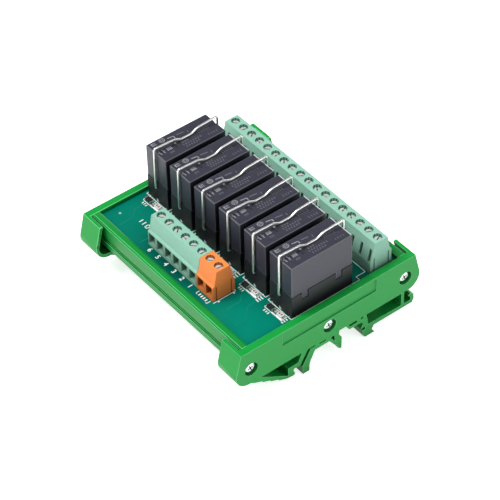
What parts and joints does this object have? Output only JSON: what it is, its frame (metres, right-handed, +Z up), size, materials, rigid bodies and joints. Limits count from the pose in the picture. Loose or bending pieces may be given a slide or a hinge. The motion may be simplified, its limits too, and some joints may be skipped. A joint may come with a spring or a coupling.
{
  "type": "relay module board",
  "caption": "Rail-mount interface board with plug-in relays in sockets, wire retaining clips and rows of screw terminals, in an extruded carrier with side plates screwed to its ends.",
  "frame": {"origin": "under the middle of the module, on the surface that its feet stand on", "axes": "+X along the mounting rail, +Y towards the long row of contact terminals, +Z up from the feet"},
  "size_m": [0.0992, 0.0892, 0.0553],
  "materials": {
    "carrier_green": "extruded, satin",
    "plate_green": "moulded, satin",
    "zinc_steel": "bright plated",
    "board_teal": "solder resist, satin gloss",
    "part_black": "moulded",
    "lamp_white": "clear to white lens",
    "terminal_mint": "moulded, satin",
    "terminal_orange": "moulded, satin",
    "clamp_nickel": "nickel plated",
    "pin_tin": "tin plated",
    "socket_black": "moulded, matte",
    "relay_black": "moulded, satin",
    "spring_steel": "bright wire"
  },
  "bodies": {
    "root": {"carrier_profile": "carrier_green", "circuit_board": "board_teal", "diodes": "part_black", "front_terminal_clamps": "clamp_nickel", "front_terminal_housing": "terminal_mint", "front_terminal_pins": "pin_tin", "front_terminal_screws": "zinc_steel", "orange_terminal_clamps": "clamp_nickel", "orange_terminal_housing": "terminal_orange", "orange_terminal_pins": "pin_tin", "orange_terminal_screws": "zinc_steel", "rear_terminal_clamps": "clamp_nickel", "rear_terminal_housing": "terminal_mint", "rear_terminal_pins": "pin_tin", "rear_terminal_screws": "zinc_steel", "relay_1": "relay_black", "relay_2": "relay_black", "relay_3": "relay_black", "relay_4": "relay_black", "relay_5": "relay_black", "relay_6": "relay_black", "relay_contacts_1": "pin_tin", "relay_contacts_2": "pin_tin", "relay_contacts_3": "pin_tin", "relay_contacts_4": "pin_tin", "relay_contacts_5": "pin_tin", "relay_contacts_6": "pin_tin", "relay_socket_1": "socket_black", "relay_socket_2": "socket_black", "relay_socket_3": "socket_black", "relay_socket_4": "socket_black", "relay_socket_5": "socket_black", "relay_socket_6": "socket_black", "resistors": "part_black", "retaining_clip_1": "spring_steel", "retaining_clip_2": "spring_steel", "retaining_clip_3": "spring_steel", "retaining_clip_4": "spring_steel", "retaining_clip_5": "spring_steel", "retaining_clip_6": "spring_steel", "side_plate_left": "plate_green", "side_plate_right": "plate_green", "side_screws_left": "zinc_steel", "side_screws_right": "zinc_steel", "status_lamps": "lamp_white"}
  },
  "joints": []
}
